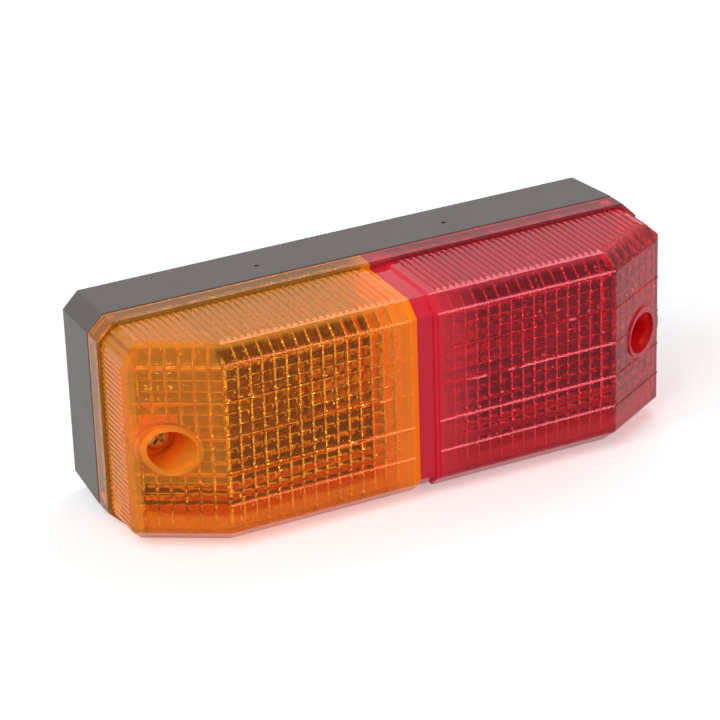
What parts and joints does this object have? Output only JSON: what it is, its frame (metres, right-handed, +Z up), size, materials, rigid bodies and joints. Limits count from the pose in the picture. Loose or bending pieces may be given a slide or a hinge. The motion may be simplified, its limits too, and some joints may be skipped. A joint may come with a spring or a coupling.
{
  "type": "tail light cluster",
  "caption": "Rear combination lamp with amber and red halves: fluted lens, angled ends with screw wells, black base and bayonet bulbs inside.",
  "frame": {"origin": "centre of the flat mounting face at the back", "axes": "+X along the lamp from the amber end to the red end, +Z up, -Y out of the lens, away from the panel"},
  "size_m": [0.16, 0.0536, 0.0582],
  "materials": {
    "base_plastic": "black moulded plastic, satin",
    "amber_plastic": "clear amber plastic, polished",
    "red_plastic": "clear red plastic, polished",
    "seal_rubber": "black rubber",
    "screw_steel": "zinc plated, yellow passivated",
    "plated_steel": "zinc plated sheet",
    "contact_brass": "rolled brass strip",
    "bulb_glass": "clear glass",
    "cap_brass": "drawn brass",
    "insulator_glass": "black insulating glass",
    "solder": "dull solder",
    "lead_wire": "drawn nickel wire",
    "filament_wire": "tungsten wire"
  },
  "bodies": {
    "root": {"base_housing": "base_plastic", "amber_lens": "amber_plastic", "red_lens": "red_plastic", "lens_gasket": "seal_rubber", "lens_screws": "screw_steel", "screw_seals": "seal_rubber", "cable_grommet": "seal_rubber", "socket_bracket": "plated_steel", "push_nuts": "plated_steel", "turn_socket": "plated_steel", "stop_socket": "plated_steel", "turn_strip": "contact_brass", "tail_strip": "contact_brass", "stop_strip": "contact_brass", "turn_bulb_glass": "bulb_glass", "turn_bulb_cap": "cap_brass", "turn_bulb_insulator": "insulator_glass", "turn_bulb_contact": "solder", "turn_bulb_leads": "lead_wire", "turn_bulb_filament": "filament_wire", "stop_bulb_glass": "bulb_glass", "stop_bulb_cap": "cap_brass", "stop_bulb_insulator": "insulator_glass", "stop_bulb_contacts": "solder", "stop_bulb_leads": "lead_wire", "stop_bulb_filaments": "filament_wire"}
  },
  "joints": []
}
